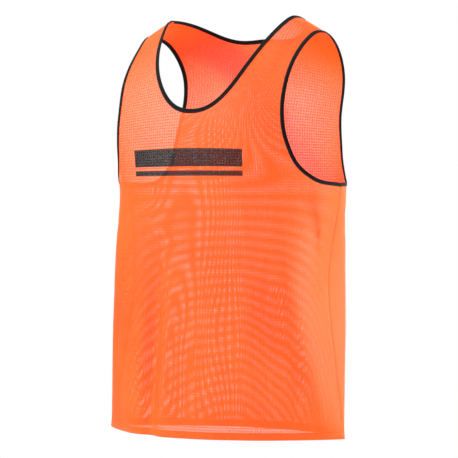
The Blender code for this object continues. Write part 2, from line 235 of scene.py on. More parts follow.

# %% [markdown]
# ## Folds and creases
# Two tables hold what hangs and what drags. The folds are the long soft troughs and
# ridges that the solids have too. The creases are in the cloth alone. Each is a straight
# run with a little bow, deepest in its middle. The first rows of the front are its large
# ones, placed by their light and shade: a trough left of the middle, and a long ridge
# with a hollow beside it from the underarm to the hem. The back has some of like size.
# The others are short soft lines from the underarm, from the ends of the shoulder seams
# and over the hip. All were placed one by one, none is even.

# %% Folds and creases
FOLDS = {                        # across, lean, foot, head, half width, depth; in metres
    "front": np.array([
        (-0.082, 0.06, -0.20, 0.34, 0.020, 0.0042),
        (-0.045, 0.04, -0.16, 0.30, 0.020, -0.0030),
        (-0.150, -0.10, -0.10, 0.36, 0.024, 0.0035),
        (0.085, -0.05, -0.18, 0.30, 0.026, 0.0034),
        (0.212, -0.13, -0.05, 0.42, 0.020, -0.0036),
        (0.168, -0.10, -0.10, 0.38, 0.018, 0.0030),
    ]),
    "back": np.array([
        (-0.120, 0.08, -0.20, 0.40, 0.026, 0.0050),
        (-0.055, 0.03, -0.15, 0.46, 0.022, -0.0038),
        (0.015, -0.02, -0.20, 0.38, 0.028, 0.0042),
        (0.095, -0.06, -0.16, 0.44, 0.024, -0.0036),
        (0.145, -0.09, -0.20, 0.36, 0.024, 0.0044),
        (-0.195, 0.10, -0.10, 0.34, 0.022, -0.0030),
    ]),
}
CREASES = {                      # across, up, the same for its end, bow, half width, depth
    "front": np.array([
        (-49, 370, -98.5, -110, 0, 16.5, 12.5),
        (-150, 160, -135, -120, 0, 23, -4),
        (2, 300, -6, -100, 4, 10, 1.8),
        (108, 430, 226, -120, 0, 28, 4),
        (143, 450, 290, -140, 0, 20, -7),
        (192, 440, 262, 200, 0, 14, 7.5),
        (226, 440, 278, 220, 0, 15, -8),
        (262, 400, 175, 300, 10, 9, 1.6),
        (255, 375, 200, 245, 6, 8, -1.2),
        (-262, 402, -165, 330, -8, 9, 1.4),
        (-250, 360, -180, 235, -10, 8.5, -1.2),
        (-85, 250, -155, 50, -12, 12, 1.9),
        (-118, 225, -176, 80, -9, 9, -1.3),
        (20, 330, 52, 110, 8, 13, 1.4),
        (120, 290, 105, 70, -7, 12, -1.4),
        (228, 205, 250, 30, 5, 10, 1.6),
        (-215, 190, -238, 35, -6, 11, 1.4),
        (145, 690, 132, 560, 6, 9, 0.9),
        (-146, 695, -130, 575, -6, 9, 0.9),
    ]) / 1000,
    "back": np.array([
        (48, 380, 90, -100, 0, 16.5, 8),
        (146, 450, 284, -140, 0, 20, -6.2),
        (196, 430, 262, 230, 0, 14, 5.5),
        (10, 650, 60, 430, 8, 18, 3.4),
        (-232, 440, -268, 120, 0, 14, -5),
        (262, 400, 150, 310, 10, 10, 1.7),
        (-262, 402, -160, 290, -10, 10, 1.6),
        (248, 350, 190, 215, 8, 9, -1.3),
        (-240, 345, -200, 180, -6, 8.5, -1.2),
        (50, 420, 30, 190, 10, 14, 1.6),
        (-20, 360, -45, 120, -10, 12, 1.5),
        (120, 250, 160, 60, 8, 11, 1.6),
        (-160, 240, -135, 40, 8, 12, -1.5),
        (214, 180, 236, 30, -6, 11, 1.4),
        (0, 630, 90, 560, 10, 12, 1),
        (-145, 710, -128, 580, -6, 9, 1),
        (146, 705, 130, 590, 6, 9, 1),
    ]) / 1000,
}


def on_cut(across, up):
    """Points of the flat cut from their two coordinates."""
    return np.stack(np.broadcast_arrays(across, up), -1)


def fold_depth(across, up, side):
    """How far the hanging folds pull the cloth inwards."""
    total = np.zeros(len(across))
    for middle, lean, foot, head, half_width, depth in FOLDS[side]:
        share = np.clip((up - foot) / (head - foot), 0, 1)
        bell = np.exp(-((across - middle - lean * up) / half_width) ** 2)
        total += depth * bell * np.sin(np.pi * share) ** 2
    return total


def crease_depth(across, up, side):
    """How far the creases pull the cloth inwards."""
    total = np.zeros(len(across))
    for x, y, end_x, end_y, bow, half_width, depth in CREASES[side]:
        run = np.array([end_x - x, end_y - y])
        length = np.hypot(*run)
        along = run / length
        from_start = on_cut(across - x, up - y)
        share = np.clip(from_start @ along / length, 0, 1)
        beside = from_start @ [-along[1], along[0]] - bow * np.sin(np.pi * share)
        total += depth * np.exp(-(beside / half_width) ** 2) * np.sin(np.pi * share) ** 2
    return total


for side in ("front", "back"):
    print(side, "folds:", len(FOLDS[side]), "creases:", len(CREASES[side]))

# %% [markdown]
# ## Laying the cut on the form
# *place* turns a point of the flat cut into a point in space. *surface* also gives the
# outward step for each unit of thickness. On a seam that step lies in the plane between
# the two panels, so that their edges meet in a mitre, as two pressed layers do.

# %% Placing points of the cut
GAP = 0.0003                     # between pieces that touch
PROBE = 0.002                    # step used to measure the cloth's slope
LONGEST_MITRE = 1.6
SEAM_CALM = 14                   # how closely the creases run up to the side seams
SAME_POINT = 1e-5
NECK_HALF_WIDTH = 0.1235
CHEST_ROW = 0.45                 # row of the cloth over the middle of the chest


def place(across, up, side):
    """Lay points of the flat cut on the worn form."""
    across = np.atleast_1d(np.asarray(across, float))
    up = np.atleast_1d(np.asarray(up, float))
    height, ring_x, ring_y, arc = half_rings(up, side)
    row = np.arange(len(up))
    k = np.clip((arc < np.abs(across)[:, None]).sum(1) - 1, 0, RING_SAMPLES - 2)
    t = np.clip((np.abs(across) - arc[row, k]) / (arc[row, k + 1] - arc[row, k]), 0, 1)
    x = ring_x[row, k] + t * (ring_x[row, k + 1] - ring_x[row, k])
    y = ring_y[row, k] + t * (ring_y[row, k + 1] - ring_y[row, k])
    lift = np.clip((height - SLOPE_START) / (HEIGHT - SLOPE_START), 0, 1) ** 2
    fall = np.hypot(x, SLOPE_ROUNDING) - np.hypot(NECK_HALF_WIDTH, SLOPE_ROUNDING)
    # a crease runs out before it reaches the side seam, where both panels meet
    reach = np.clip(np.abs(across) / arc[:, -1], 0, 1)
    creased = crease_depth(across, up, side) * (1 - reach ** SEAM_CALM)
    out = y - fold_depth(across, up, side) - creased
    facing = -1 if side == "front" else 1
    return np.stack([
        np.sign(across) * x - REST[0],
        ring_value("seam_y", height) + facing * out - REST[1],
        height - SHOULDER_SLOPE * lift * fall - REST[2],
    ], -1)


def unit(vectors):
    return vectors / np.linalg.norm(vectors, axis=-1, keepdims=True)


def surface(across, up, side):
    """Points of the cloth's outer face, and the outward step for each unit of thickness."""
    across = np.atleast_1d(np.asarray(across, float))
    up = np.atleast_1d(np.asarray(up, float))
    width = seam(up, side)
    top = ridge(side)
    right = np.minimum(across + PROBE, width)
    left = np.maximum(across - PROBE, -width)
    along_x = place(right, up, side) - place(left, up, side)
    above = np.minimum(up + PROBE, top)
    below = up - PROBE
    reach = across / width
    along_z = (place(reach * seam(above, side), above, side)
               - place(reach * seam(below, side), below, side))
    normal = unit(np.cross(along_x, along_z))
    if side == "back":
        normal = -normal
    points = place(across, up, side)
    on_seam = (np.abs(across) > width - SAME_POINT) | (up > top - SAME_POINT)
    flat = unit(normal * np.array([1.0, 0.0, 1.0]))
    mitre = flat / np.maximum((flat * normal).sum(1), 1 / LONGEST_MITRE)[:, None]
    step = np.where(on_seam[:, None], mitre, normal)
    points[on_seam, 1] += (-GAP if side == "front" else GAP) / 2
    return points, step


chest, chest_out = surface(0.0, CHEST_ROW, "front")
print("middle of the chest:", chest[0].round(3), "facing", chest_out[0].round(2))

# %% [markdown]
# ## The edges of the cut
# A pattern maker draws the neck and the armholes as smooth curves on flat cloth. The
# scoop of the neck is a rounded cosine, and the armhole is a short table of offsets from
# the centre line. The strips that bind them are 5.8 mm wide when folded.

# %% Edges of the cut
NECK = {
    "front": {"drop": 0.231, "across": 2.28, "down": 1.55},
    "back": {"drop": 0.140, "across": 2.9, "down": 1.5},
}
SHOULDER_TIP = 0.1765
ARMHOLE_FOOT = 0.4215
HEM_RISE = 0.002
HEM_DEPTH = 0.0125
STRIP_WIDTH = 0.0058
LINE_SAMPLES = 1601
MEASURE_STEP = 0.004             # spacing at which the edges' lengths are measured
ARMHOLE_COLUMNS = ("down", "front", "back")
ARMHOLE = np.array([
    (0.000, SHOULDER_TIP, SHOULDER_TIP),
    (0.130, 0.1719, 0.1716),
    (0.300, 0.1666, 0.1690),
    (0.480, 0.1654, 0.1662),
    (0.650, 0.1669, 0.1672),
    (0.800, 0.1765, 0.1771),
    (0.910, 0.1931, 0.1888),
    (0.975, 0.2220, 0.2080),
])


def lengths(line):
    """Distance along a line at each of its points."""
    return np.concatenate([[0], np.cumsum(np.linalg.norm(np.diff(line, axis=0), axis=1))])


def read_line(line, at, length):
    """Points of a line at some distances along it; length is the distance at its own points."""
    return np.stack([np.interp(at, length, values) for values in line.T], -1)


def resample(line, spacing):
    """Points at an even spacing along a finely drawn line."""
    length = lengths(line)
    count = max(2, round(length[-1] / spacing) + 1)
    return read_line(line, np.linspace(0, length[-1], count), length)


def neckline(side, spacing):
    """Neck edge from the -X shoulder down to the middle and up to the +X shoulder."""
    turn = np.linspace(-np.pi / 2, np.pi / 2, LINE_SAMPLES)
    cut = NECK[side]
    across = NECK_HALF_WIDTH * np.sign(turn) * np.abs(np.sin(turn)) ** (2 / cut["across"])
    up = ridge(side) - cut["drop"] * np.clip(np.cos(turn), 0, 1) ** (2 / cut["down"])
    return resample(on_cut(across, up), spacing)


def armhole(side, spacing):
    """Armhole edge of the +X half from the side seam up to the shoulder tip."""
    top = ridge(side)
    rows = ARMHOLE[:, ARMHOLE_COLUMNS.index(side)]
    # one more row above the shoulder, like the next one down, turns the edge square to it
    down = np.concatenate([[-ARMHOLE[1, 0]], ARMHOLE[:, 0], [1.0]])
    across = np.concatenate([[rows[1]], rows, seam(ARMHOLE_FOOT, side)])
    up = top + (ARMHOLE_FOOT - top) * down
    chord = lengths(on_cut(across, up))
    at = np.linspace(chord[1], chord[-1], LINE_SAMPLES)
    line = on_cut(smooth(chord, across, at), smooth(chord, up, at))
    return resample(line[::-1], spacing)


def inset(line, by):
    """A line moved to its left on the flat cut."""
    along = unit(np.gradient(line, axis=0))
    return line + by * on_cut(-along[:, 1], along[:, 0])


def hem_rise(across, side):
    """How far the hem's edge sits above its middle, which follows the form's flare."""
    return HEM_RISE * (across / seam(HEM_RISE, side)[0]) ** 2


for side in ("front", "back"):
    print(side, "neck edge", round(float(lengths(neckline(side, MEASURE_STEP))[-1]), 3),
          "armhole edge", round(float(lengths(armhole(side, MEASURE_STEP))[-1]), 3))

# %% [markdown]
# ## Filling a flat cut
# The cut is filled with staggered points and triangulated by Blender's constrained
# Delaunay routine, which keeps the cut's own edges. A plain grid would leave steps along
# the curved neck and armholes.

# %% Flat cut and its triangles
EDGE_STEP = 0.0042
INNER_STEP = 0.0056
INNER_CLEARANCE = 0.6            # share of the inner step kept clear beside every edge line
CHUNK = 2000                     # points whose distances are measured at once


def distance_to_edges(points, outline):
    """Distance from each point to the nearest edge of a closed outline."""
    run = np.roll(outline, -1, 0) - outline
    nearest = []
    for first in range(0, len(points), CHUNK):
        away = points[first:first + CHUNK, None] - outline[None]
        t = np.clip((away * run).sum(2) / (run ** 2).sum(1), 0, 1)
        nearest.append(np.linalg.norm(away - t[..., None] * run[None], axis=2).min(1))
    return np.concatenate(nearest)


def cut_outline(side):
    """Points of the closed edge of the cut, from the hem up the +X side and round."""
    width = seam(HEM_RISE, side)[0]
    across = np.linspace(-width, width, round(2 * width / EDGE_STEP) + 1)
    hem = on_cut(across, hem_rise(across, side))
    rows = np.linspace(HEM_RISE, ARMHOLE_FOOT, round((ARMHOLE_FOOT - HEM_RISE) / EDGE_STEP) + 1)
    side_line = on_cut(seam(rows, side), rows)
    strap_width = SHOULDER_TIP - NECK_HALF_WIDTH
    strap = np.linspace(SHOULDER_TIP, NECK_HALF_WIDTH, 1 + round(strap_width / EDGE_STEP))
    half = [side_line, armhole(side, EDGE_STEP), on_cut(strap, ridge(side))]
    other_half = [line[::-1] * np.array([-1.0, 1.0]) for line in reversed(half)]
    lines = [hem, *half, neckline(side, EDGE_STEP)[::-1], *other_half]
    return np.concatenate([line[:-1] for line in lines])     # a line ends where the next begins


def panel_cut(side):
    """The panel's flat cut as triangles: its points and faces."""
    outline = cut_outline(side)
    rows = np.arange(0, outline[:, 1].max(), INNER_STEP * np.sqrt(3) / 2)
    found = []
    for n, up in enumerate(rows):
        across = np.arange(0.5 * (n % 2) * INNER_STEP, outline[:, 0].max(), INNER_STEP)
        both = np.concatenate([-across[across > 0][::-1], across])
        found.append(on_cut(both, up))
    found = np.concatenate(found)
    found = found[distance_to_edges(found, outline) > INNER_CLEARANCE * INNER_STEP]
    edges = [(i, (i + 1) % len(outline)) for i in range(len(outline))]
    flat = [Vector(point) for point in np.concatenate([outline, found])]
    verts, _, faces, *_ = delaunay_2d_cdt(flat, edges, [], 1, SAME_POINT / 10)
    # the points outside the outline are in no triangle and are left out
    used = sorted({i for face in faces for i in face})
    number = dict(zip(used, range(len(used))))
    return np.array([verts[i] for i in used]), [tuple(number[i] for i in face) for face in faces]


print("edge of the front's cut:", len(cut_outline("front")), "points")

# %% [markdown]
# ## From triangles to cloth
# Each point of the cut is laid on the form twice, once for each face of the cloth. The
# hem is turned up inside as one more pair of faces, so it is the same piece of cloth. A
# UV map called *cut* remembers where every point was on the flat cloth, in metres, so
# the net can be drawn at its real size and runs on round the folded hem.

# %% Panel builder
CLOTH = 0.00020                  # thickness of the mesh cloth
FLAP_GAP = 0.0002                # between the hem's layers
HEM_SLIP = 0.0006                # the turned edge is sewn half a stitch aside, over the holes
ON_LINE = 1e-4


def boundary_edges(faces):
    """Directed edges that only one face uses."""
    used = {(a, b) for face in faces for a, b in zip(face, face[1:] + face[:1])}
    return [(a, b) for a, b in used if (b, a) not in used]


def new_piece(name, points, faces, cut_map, material):
    """A closed smooth mesh, facing outwards, with a UV map of where its points lie on the cut."""
    mesh = bpy.data.meshes.new(name)
    mesh.from_pydata([tuple(p) for p in points], [], faces)
    layer = mesh.uv_layers.new(name="cut")
    corner = np.zeros(len(mesh.loops), int)
    mesh.loops.foreach_get("vertex_index", corner)
    layer.data.foreach_set("uv", np.asarray(cut_map, float)[corner].astype(np.float32).ravel())
    mesh.materials.append(material)
    mesh.shade_smooth()
    bm = bmesh.new()
    bm.from_mesh(mesh)
    bmesh.ops.remove_doubles(bm, verts=bm.verts, dist=SAME_POINT / 10)
    bmesh.ops.recalc_face_normals(bm, faces=bm.faces)
    bm.to_mesh(mesh)
    bm.free()
    piece = bpy.data.objects.new(name, mesh)
    scene.collection.objects.link(piece)
    return piece


def hem_profile(flat, side):
    """Corners of the turned-up hem at each hem point, and how far each is past the fold."""
    width = seam(flat[:, 1], side)
    corners = []
    near = CLOTH + FLAP_GAP
    far = near + CLOTH
    for rise, depth in ((0.0, far), (HEM_DEPTH / 2, far), (HEM_DEPTH, far),
                        (HEM_DEPTH, near), (HEM_DEPTH / 2, near), (CLOTH, near), (CLOTH, CLOTH)):
        up = flat[:, 1] + rise
        across = flat[:, 0] * seam(up, side) / width
        point, step = surface(across, up, side)
        corners.append((point - depth * step, rise if depth > CLOTH else 0.0))
    return corners


def panel_shell(side, material):
    """A panel's two faces, their rims and the hem turned up inside, as one fine piece."""
    flat, faces = panel_cut(side)
    count = len(flat)
    outer, step = surface(*flat.T, side)
    points = [outer, outer - CLOTH * step]
    cut_map = [flat, flat]
    on_hem = np.flatnonzero(np.abs(flat[:, 1] - hem_rise(flat[:, 0], side)) < ON_LINE)
    chains = {i: [i, count + i] for i in range(count)}
    total = 2 * count
    for corner, past_fold in hem_profile(flat[on_hem], side):
        points.append(corner)
        cut_map.append(flat[on_hem] + np.array([HEM_SLIP if past_fold else 0.0, -past_fold]))
        for n, i in enumerate(on_hem):
            chains[i].insert(-1, total + n)
        total += len(on_hem)
    made = []
    for face in faces:
        made.append(face)
        made.append(tuple(count + i for i in reversed(face)))
    for a, b in boundary_edges(faces):
        first, second = chains[a], chains[b]
        if len(first) == len(second):
            links = list(zip(first, second))
            made += [(b0, a0, a1, b1) for (a0, b0), (a1, b1) in zip(links, links[1:])]
            continue
        whole, short = (first, second) if len(first) > len(second) else (second, first)
        rim = (whole[0], short[0], short[-1], whole[-1])
        made.append(rim if whole is first else rim[::-1])
        made.append(tuple(whole) if whole is second else tuple(reversed(whole)))
    return new_piece(f"{side}_cloth", np.concatenate(points), made, np.concatenate(cut_map), material)


print("thickness of a hem, millimetres:", round(1000 * (2 * CLOTH + FLAP_GAP), 2))

# %% [markdown]
# ## Building materials
# The helpers here add a node, join two sockets and do sums. A *Worked* number can be
# added, multiplied and so on with plain signs, and each sign adds one Math node. That
# keeps the recipes below short enough to read as recipes.

# %% Node helpers
def add_node(tree, kind, **settings):
    """A node of the given kind, with its plain settings."""
    made = tree.nodes.new(kind)
    for name, value in settings.items():
        setattr(made, name, value)
    return made


def feed(tree, value, socket):
    """Join a value to a socket, or set a plain number or colour on it."""
    value = getattr(value, "source", value)
    if isinstance(value, bpy.types.NodeSocket):
        tree.links.new(value, socket)
    else:
        socket.default_value = value


class Worked:
    """A number that nodes work out."""

    def __init__(self, tree, source):
        self.tree, self.source = tree, source

    def step(self, operation, *others, clamp=False):
        made = add_node(self.tree, "ShaderNodeMath", operation=operation, use_clamp=clamp)
        for value, socket in zip((self, *others), made.inputs):
            feed(self.tree, value, socket)
        return Worked(self.tree, made.outputs[0])

    def ramp(self, low, high, to_low=0.0, to_high=1.0):
        """A soft step from one value to another."""
        made = add_node(self.tree, "ShaderNodeMapRange", interpolation_type="SMOOTHSTEP")
        for value, name in zip((self, low, high, to_low, to_high),
                               ("Value", "From Min", "From Max", "To Min", "To Max")):
            feed(self.tree, value, made.inputs[name])
        return Worked(self.tree, made.outputs["Result"])


for sign, operation in (("__add__", "ADD"), ("__sub__", "SUBTRACT"), ("__mul__", "MULTIPLY"),
                        ("__truediv__", "DIVIDE"), ("__pow__", "POWER"), ("__abs__", "ABSOLUTE")):
    setattr(Worked, sign, partialmethod(Worked.step, operation))


def split(tree, value, kind="ShaderNodeSeparateXYZ"):
    """The parts of a vector or a colour."""
    made = add_node(tree, kind)
    feed(tree, value, made.inputs[0])
    return [Worked(tree, part) for part in made.outputs]


def noise(tree, vector, scale, detail=2.0, output="Fac"):
    """Soft cloud noise of the given scale."""
    made = add_node(tree, "ShaderNodeTexNoise", noise_dimensions="3D")
    for name, value in (("Vector", vector), ("Scale", scale), ("Detail", detail)):
        feed(tree, value, made.inputs[name])
    return Worked(tree, made.outputs[output])


def mix_colour(tree, share, first, second):
    """Two colours mixed by a share."""
    made = add_node(tree, "ShaderNodeMix", data_type="RGBA")
    feed(tree, share, made.inputs["Factor"])
    low, high, mixed = [s for s in (*made.inputs, *made.outputs) if s.type == "RGBA"]
    feed(tree, first, low)
    feed(tree, second, high)
    return mixed


def new_group(name, takes, gives):
    """A node group: its tree, its inputs by name and the node that its results go to."""
    tree = bpy.data.node_groups.new(name, "ShaderNodeTree")
    for in_out, sockets in (("INPUT", takes), ("OUTPUT", gives)):
        for title, kind in sockets.items():
            tree.interface.new_socket(name=title, in_out=in_out, socket_type=kind)
    given = tree.nodes.new("NodeGroupInput").outputs
    return tree, {title: Worked(tree, given[title]) for title in takes}, tree.nodes.new("NodeGroupOutput")


def use_group(tree, group, values):
    """A group placed in a material, with its own values."""
    made = add_node(tree, "ShaderNodeGroup", node_tree=group)
    for name, value in values.items():
        feed(tree, value, made.inputs[name])
    return made


print("helpers for materials:", add_node.__name__, feed.__name__, split.__name__, noise.__name__)

# %% [markdown]
# ## The net
# Warp-knitted mesh is a net of fine threads with a hole in every stitch. The holes are
# far too many to model, so they are drawn: the group reads the flat cut's coordinates,
# counts columns and rows, and gives a mask that is 0 in a hole and 1 on the thread. The
# rows waver a little, as the net is never stretched quite evenly. Every few columns a
# thicker thread runs up the cloth, which gives the net its visible ribs.

# %% Node group: net_holes
FLOAT, VECTOR, COLOUR = "NodeSocketFloat", "NodeSocketVector", "NodeSocketColor"
GRAIN_MIDDLE = 0.335             # row where the grain hangs straight
GRAIN_REACH = 0.26               # distance from there to the hem's rows
GRAIN_BEND = 1.6
WAVER_SCALE = 14.0
FIRST_COUNT = 4000.0             # keeps every count of columns and rows above zero
HOLE_SQUARENESS = 2.5            # 2 is a round hole, and more is squarer
LEAST_SWELL = 0.02
CLOTH_EDGE = (0.85, 1.15)        # the thread's edge, as a share of the hole
CROWN = (0.9, 4.0)               # from there the thread rises to its crown

net_holes, given, net_out = new_group("net_holes", {
    "Cut": VECTOR, "Column Pitch": FLOAT, "Row Pitch": FLOAT, "Hole Width": FLOAT,
    "Hole Height": FLOAT, "Rib Columns": FLOAT, "Rib Rows": FLOAT, "Rib Share": FLOAT,
    "Waver": FLOAT, "Grain Lean": FLOAT, "Row Sag": FLOAT,
}, {"Cloth": FLOAT, "Crown": FLOAT})
spot = split(net_holes, given["Cut"])
waver = split(net_holes, noise(net_holes, given["Cut"], WAVER_SCALE, detail=1.0, output="Color"),
              "ShaderNodeSeparateColor")
# away from the middle of the body, the grain runs off to one side and the rows sag
away = abs((spot[1] - GRAIN_MIDDLE) / GRAIN_REACH) ** GRAIN_BEND
from_middle, ribs = [], []
for axis, pitch, drift, every, size in (
        (0, "Column Pitch", "Grain Lean", "Rib Columns", "Hole Width"),
        (1, "Row Pitch", "Row Sag", "Rib Rows", "Hole Height")):
    push = (waver[axis] - 0.5) * given["Waver"]
    count = (spot[axis] + (push - away * given[drift])) / given[pitch] + FIRST_COUNT
    turn = (count / given[every]).step("FRACT") * (2 * math.pi)
    ribs.append(turn.step("COSINE") * given["Rib Share"])
    off = (count.step("FRACT") - 0.5) / (given[size] * 0.5)
    from_middle.append(abs(off) ** HOLE_SQUARENESS)
swell = (ribs[0] + ribs[1] + 1.0).step("MAXIMUM", LEAST_SWELL)
from_hole = (from_middle[0] + from_middle[1]) / swell
feed(net_holes, from_hole.ramp(*CLOTH_EDGE), net_out.inputs["Cloth"])
feed(net_holes, from_hole.ramp(*CROWN), net_out.inputs["Crown"])
print("net_holes:", len(net_holes.nodes), "nodes")

# %% [markdown]
# ## Dye
# Dyed yarn is never one flat colour. This group is shared by the mesh, the strip and the
# thread: it moves the colour a little lighter and darker in soft patches, and the
# roughness with it, at a scale that each material chooses. *dyed_material* starts all
# three materials with it.

# %% Node group: dye_variation
PATCH_SHARE = 0.6                # the rest of the change is fine grain
RELIEF = 0.0002                  # height of the fine relief of knit and thread

dye_variation, given, dye_out = new_group("dye_variation", {
    "Cut": VECTOR, "Colour": COLOUR, "Patches": FLOAT, "Grain": FLOAT, "Amount": FLOAT,
    "Roughness": FLOAT,
}, {"Colour": COLOUR, "Roughness": FLOAT})
patches = noise(dye_variation, given["Cut"], given["Patches"], detail=3.0)
grain = noise(dye_variation, given["Cut"], given["Grain"], detail=1.0)
shift = (patches * PATCH_SHARE + grain * (1 - PATCH_SHARE) - 0.5) * given["Amount"]
scaled = add_node(dye_variation, "ShaderNodeVectorMath", operation="SCALE")
feed(dye_variation, given["Colour"], scaled.inputs[0])
feed(dye_variation, shift * 2.0 + 1.0, scaled.inputs["Scale"])
feed(dye_variation, scaled.outputs[0], dye_out.inputs["Colour"])
feed(dye_variation, given["Roughness"].step("ADD", shift, clamp=True), dye_out.inputs["Roughness"])


def dyed_material(name, colour, patches, grain, amount, roughness, plain_values):
    """A material of dyed yarn: itself, its tree, its shader, the cut's map and the dyed colour."""
    material = bpy.data.materials.new(name)
    material.use_nodes = True
    tree = material.node_tree
    shader = tree.nodes["Principled BSDF"]
    cut = add_node(tree, "ShaderNodeUVMap", uv_map="cut").outputs["UV"]
    dye = use_group(tree, dye_variation, {
        "Cut": cut, "Colour": colour, "Patches": patches, "Grain": grain, "Amount": amount,
        "Roughness": roughness})
    feed(tree, dye.outputs["Colour"], shader.inputs["Base Color"])
    feed(tree, dye.outputs["Roughness"], shader.inputs["Roughness"])
    for title, value in plain_values.items():
        shader.inputs[title].default_value = value
    return material, tree, shader, cut, dye.outputs["Colour"]


def add_bump(tree, shader, height, strength):
    """Fine relief in the material."""
    bump = add_node(tree, "ShaderNodeBump")
    bump.inputs["Strength"].default_value = strength
    bump.inputs["Distance"].default_value = RELIEF
    feed(tree, height, bump.inputs["Height"])
    feed(tree, bump.outputs["Normal"], shader.inputs["Normal"])


print("dye_variation:", len(dye_variation.nodes), "nodes")

# %% [markdown]
# ## The mesh cloth
# Bright polyester lets light through, so the material mixes a Principled shader with
# some Translucent: the far side glows a little where light falls on it from behind. On
# the front two plain dark bars are printed. Ink lies on the threads only, so the holes
# stay open in it and the ground shows at its edges.

# %% Material: mesh_cloth
ORANGE = (0.97, 0.148, 0.015, 1.0)
INK = (0.012, 0.011, 0.012, 1.0)
PAINTED_GLOW_COLOUR = (1.0, 0.03, 0.0, 1.0)   # painted glow, the same in light and in shade; it stands in for the dye turning part of the light that it takes in to red
# strength of the painted glow, a steady light from the cloth itself
PAINTED_GLOW_STRENGTH = 0.22
NO_GLOW = (0.0, 0.0, 0.0, 1.0)
GLOW_SHARE = 0.08                # how much of the light passes through the thread
NET_COLUMNS = ("Column Pitch", "Row Pitch", "Rib Columns", "Grain Lean", "Row Sag")
NET = {
    "front": (0.00122, 0.00111, 4.0, 0.0, 0.0),
    "back": (0.00106, 0.00111, 5.0, 0.0115, 0.002),
}
SAME_NET = {"Rib Rows": 4.0, "Rib Share": 0.5, "Waver": 0.0001}
HOLE = 0.54                      # share of a column and of a row that the hole takes
HEM_HOLE = 0.55                  # the turned-up hem is sewn through, and its net closes
HEM_SOFTNESS = 0.0005
INKED_HOLE = 0.58                # ink runs a little way into the holes
YOKE_ROWS = (0.50, 0.71)         # the cloth hangs from here, and its weight closes the net
YOKE_HOLE = {"front": 0.86, "back": 0.43}
BARS = (                         # left, right, low, high
    (-0.1235, 0.0990, 0.4485, 0.4770),
    (-0.1235, 0.0990, 0.4335, 0.4420),
)
BAR_EDGE = 0.0004                # softness of the ink's edge
WORN_SCALE = 420.0
WORN_INK = (0.30, 0.42, 0.72, 1.0)   # where the noise is low, less ink is left


def bar_mask(across, up, left, right, low, high):
    """1 inside a printed bar and 0 outside it."""
    mask = [value.ramp(edge - BAR_EDGE, edge + BAR_EDGE, *ends) for value, edge, ends in (
        (across, left, (0.0, 1.0)), (across, right, (1.0, 0.0)),
        (up, low, (0.0, 1.0)), (up, high, (1.0, 0.0)))]
    return (mask[0] * mask[1]) * (mask[2] * mask[3])


def mesh_cloth(name, side, printed):
    """The orange net of one panel, with or without the printed bars."""
    material, tree, shader, cut, colour = dyed_material(
        name, ORANGE, patches=7.0, grain=380.0, amount=0.45, roughness=0.46, plain_values={
            # the emission is a painted glow: the cloth shines red even where no light falls
            "Emission Strength": PAINTED_GLOW_STRENGTH, "Sheen Weight": 0.05,
            "Sheen Roughness": 0.35, "Specular IOR Level": 0.25})
    across, up, _ = split(tree, cut)
    glow = PAINTED_GLOW_COLOUR
    hole = up.ramp(*YOKE_ROWS, 1.0, YOKE_HOLE[side])
    hole = hole * up.ramp(HEM_DEPTH - HEM_SOFTNESS, HEM_DEPTH + HEM_SOFTNESS, HEM_HOLE, 1.0)
    if printed:
        first, second = [bar_mask(across, up, *bar) for bar in BARS]
        ink = first.step("MAXIMUM", second)
        inked = ink * noise(tree, cut, WORN_SCALE).ramp(*WORN_INK)
        colour = mix_colour(tree, inked, colour, INK)
        glow = mix_colour(tree, inked, PAINTED_GLOW_COLOUR, NO_GLOW)
        hole = hole * ink.ramp(0.0, 1.0, 1.0, INKED_HOLE)
    hole = hole * HOLE
    net = use_group(tree, net_holes, {
        "Cut": cut, "Hole Width": hole, "Hole Height": hole, **SAME_NET,
        **dict(zip(NET_COLUMNS, NET[side]))})
    feed(tree, colour, shader.inputs["Base Color"])
    feed(tree, net.outputs["Cloth"], shader.inputs["Alpha"])
    # painted glow, none where the ink lies
    feed(tree, glow, shader.inputs["Emission Color"])
    add_bump(tree, shader, net.outputs["Crown"], strength=0.5)
    through = add_node(tree, "ShaderNodeBsdfTranslucent")
    feed(tree, colour, through.inputs["Color"])
    both = add_node(tree, "ShaderNodeMixShader")
    both.inputs["Fac"].default_value = GLOW_SHARE
    feed(tree, shader.outputs[0], both.inputs[1])
    feed(tree, through.outputs[0], both.inputs[2])
    feed(tree, both.outputs[0], tree.nodes["Material Output"].inputs["Surface"])
    return material


plain_mesh = mesh_cloth("orange_mesh", "back", printed=False)
printed_mesh = mesh_cloth("orange_mesh_printed", "front", printed=True)
print("materials:", plain_mesh.name, printed_mesh.name)

# %% [markdown]
# ## The front and the back
# The two panels share one builder. Only their tables differ: the front has the deep
# neck and the back sits higher. A pale strip of single cloth shows between the two
# hems.

# %% Cloth panels
cloth = {
    "front": panel_shell("front", printed_mesh),
    "back": panel_shell("back", plain_mesh),
}
for side, piece in cloth.items():
    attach(piece, "root")
    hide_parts(f"{side}_panel")
    print(piece.name, len(piece.data.vertices), "points", len(piece.data.polygons), "faces")

# %% [markdown]
# ## The bindings
# Each raw edge is wrapped in a knitted strip, folded lengthwise and stitched through.
# A section is swept round the edge: flat faces on both sides of the cloth, a round fold
# over the edge, and thin borders. The strip is a plain soft black with fine ribs.

# %% Material: binding
BLACK = (0.0045, 0.0045, 0.0050, 1.0)
RIB_PITCH = 0.0009
STITCH_PITCH = 0.0032
RIB_RELIEF, LOOP_RELIEF, DIMPLE_RELIEF = 0.4, 0.15, 0.5


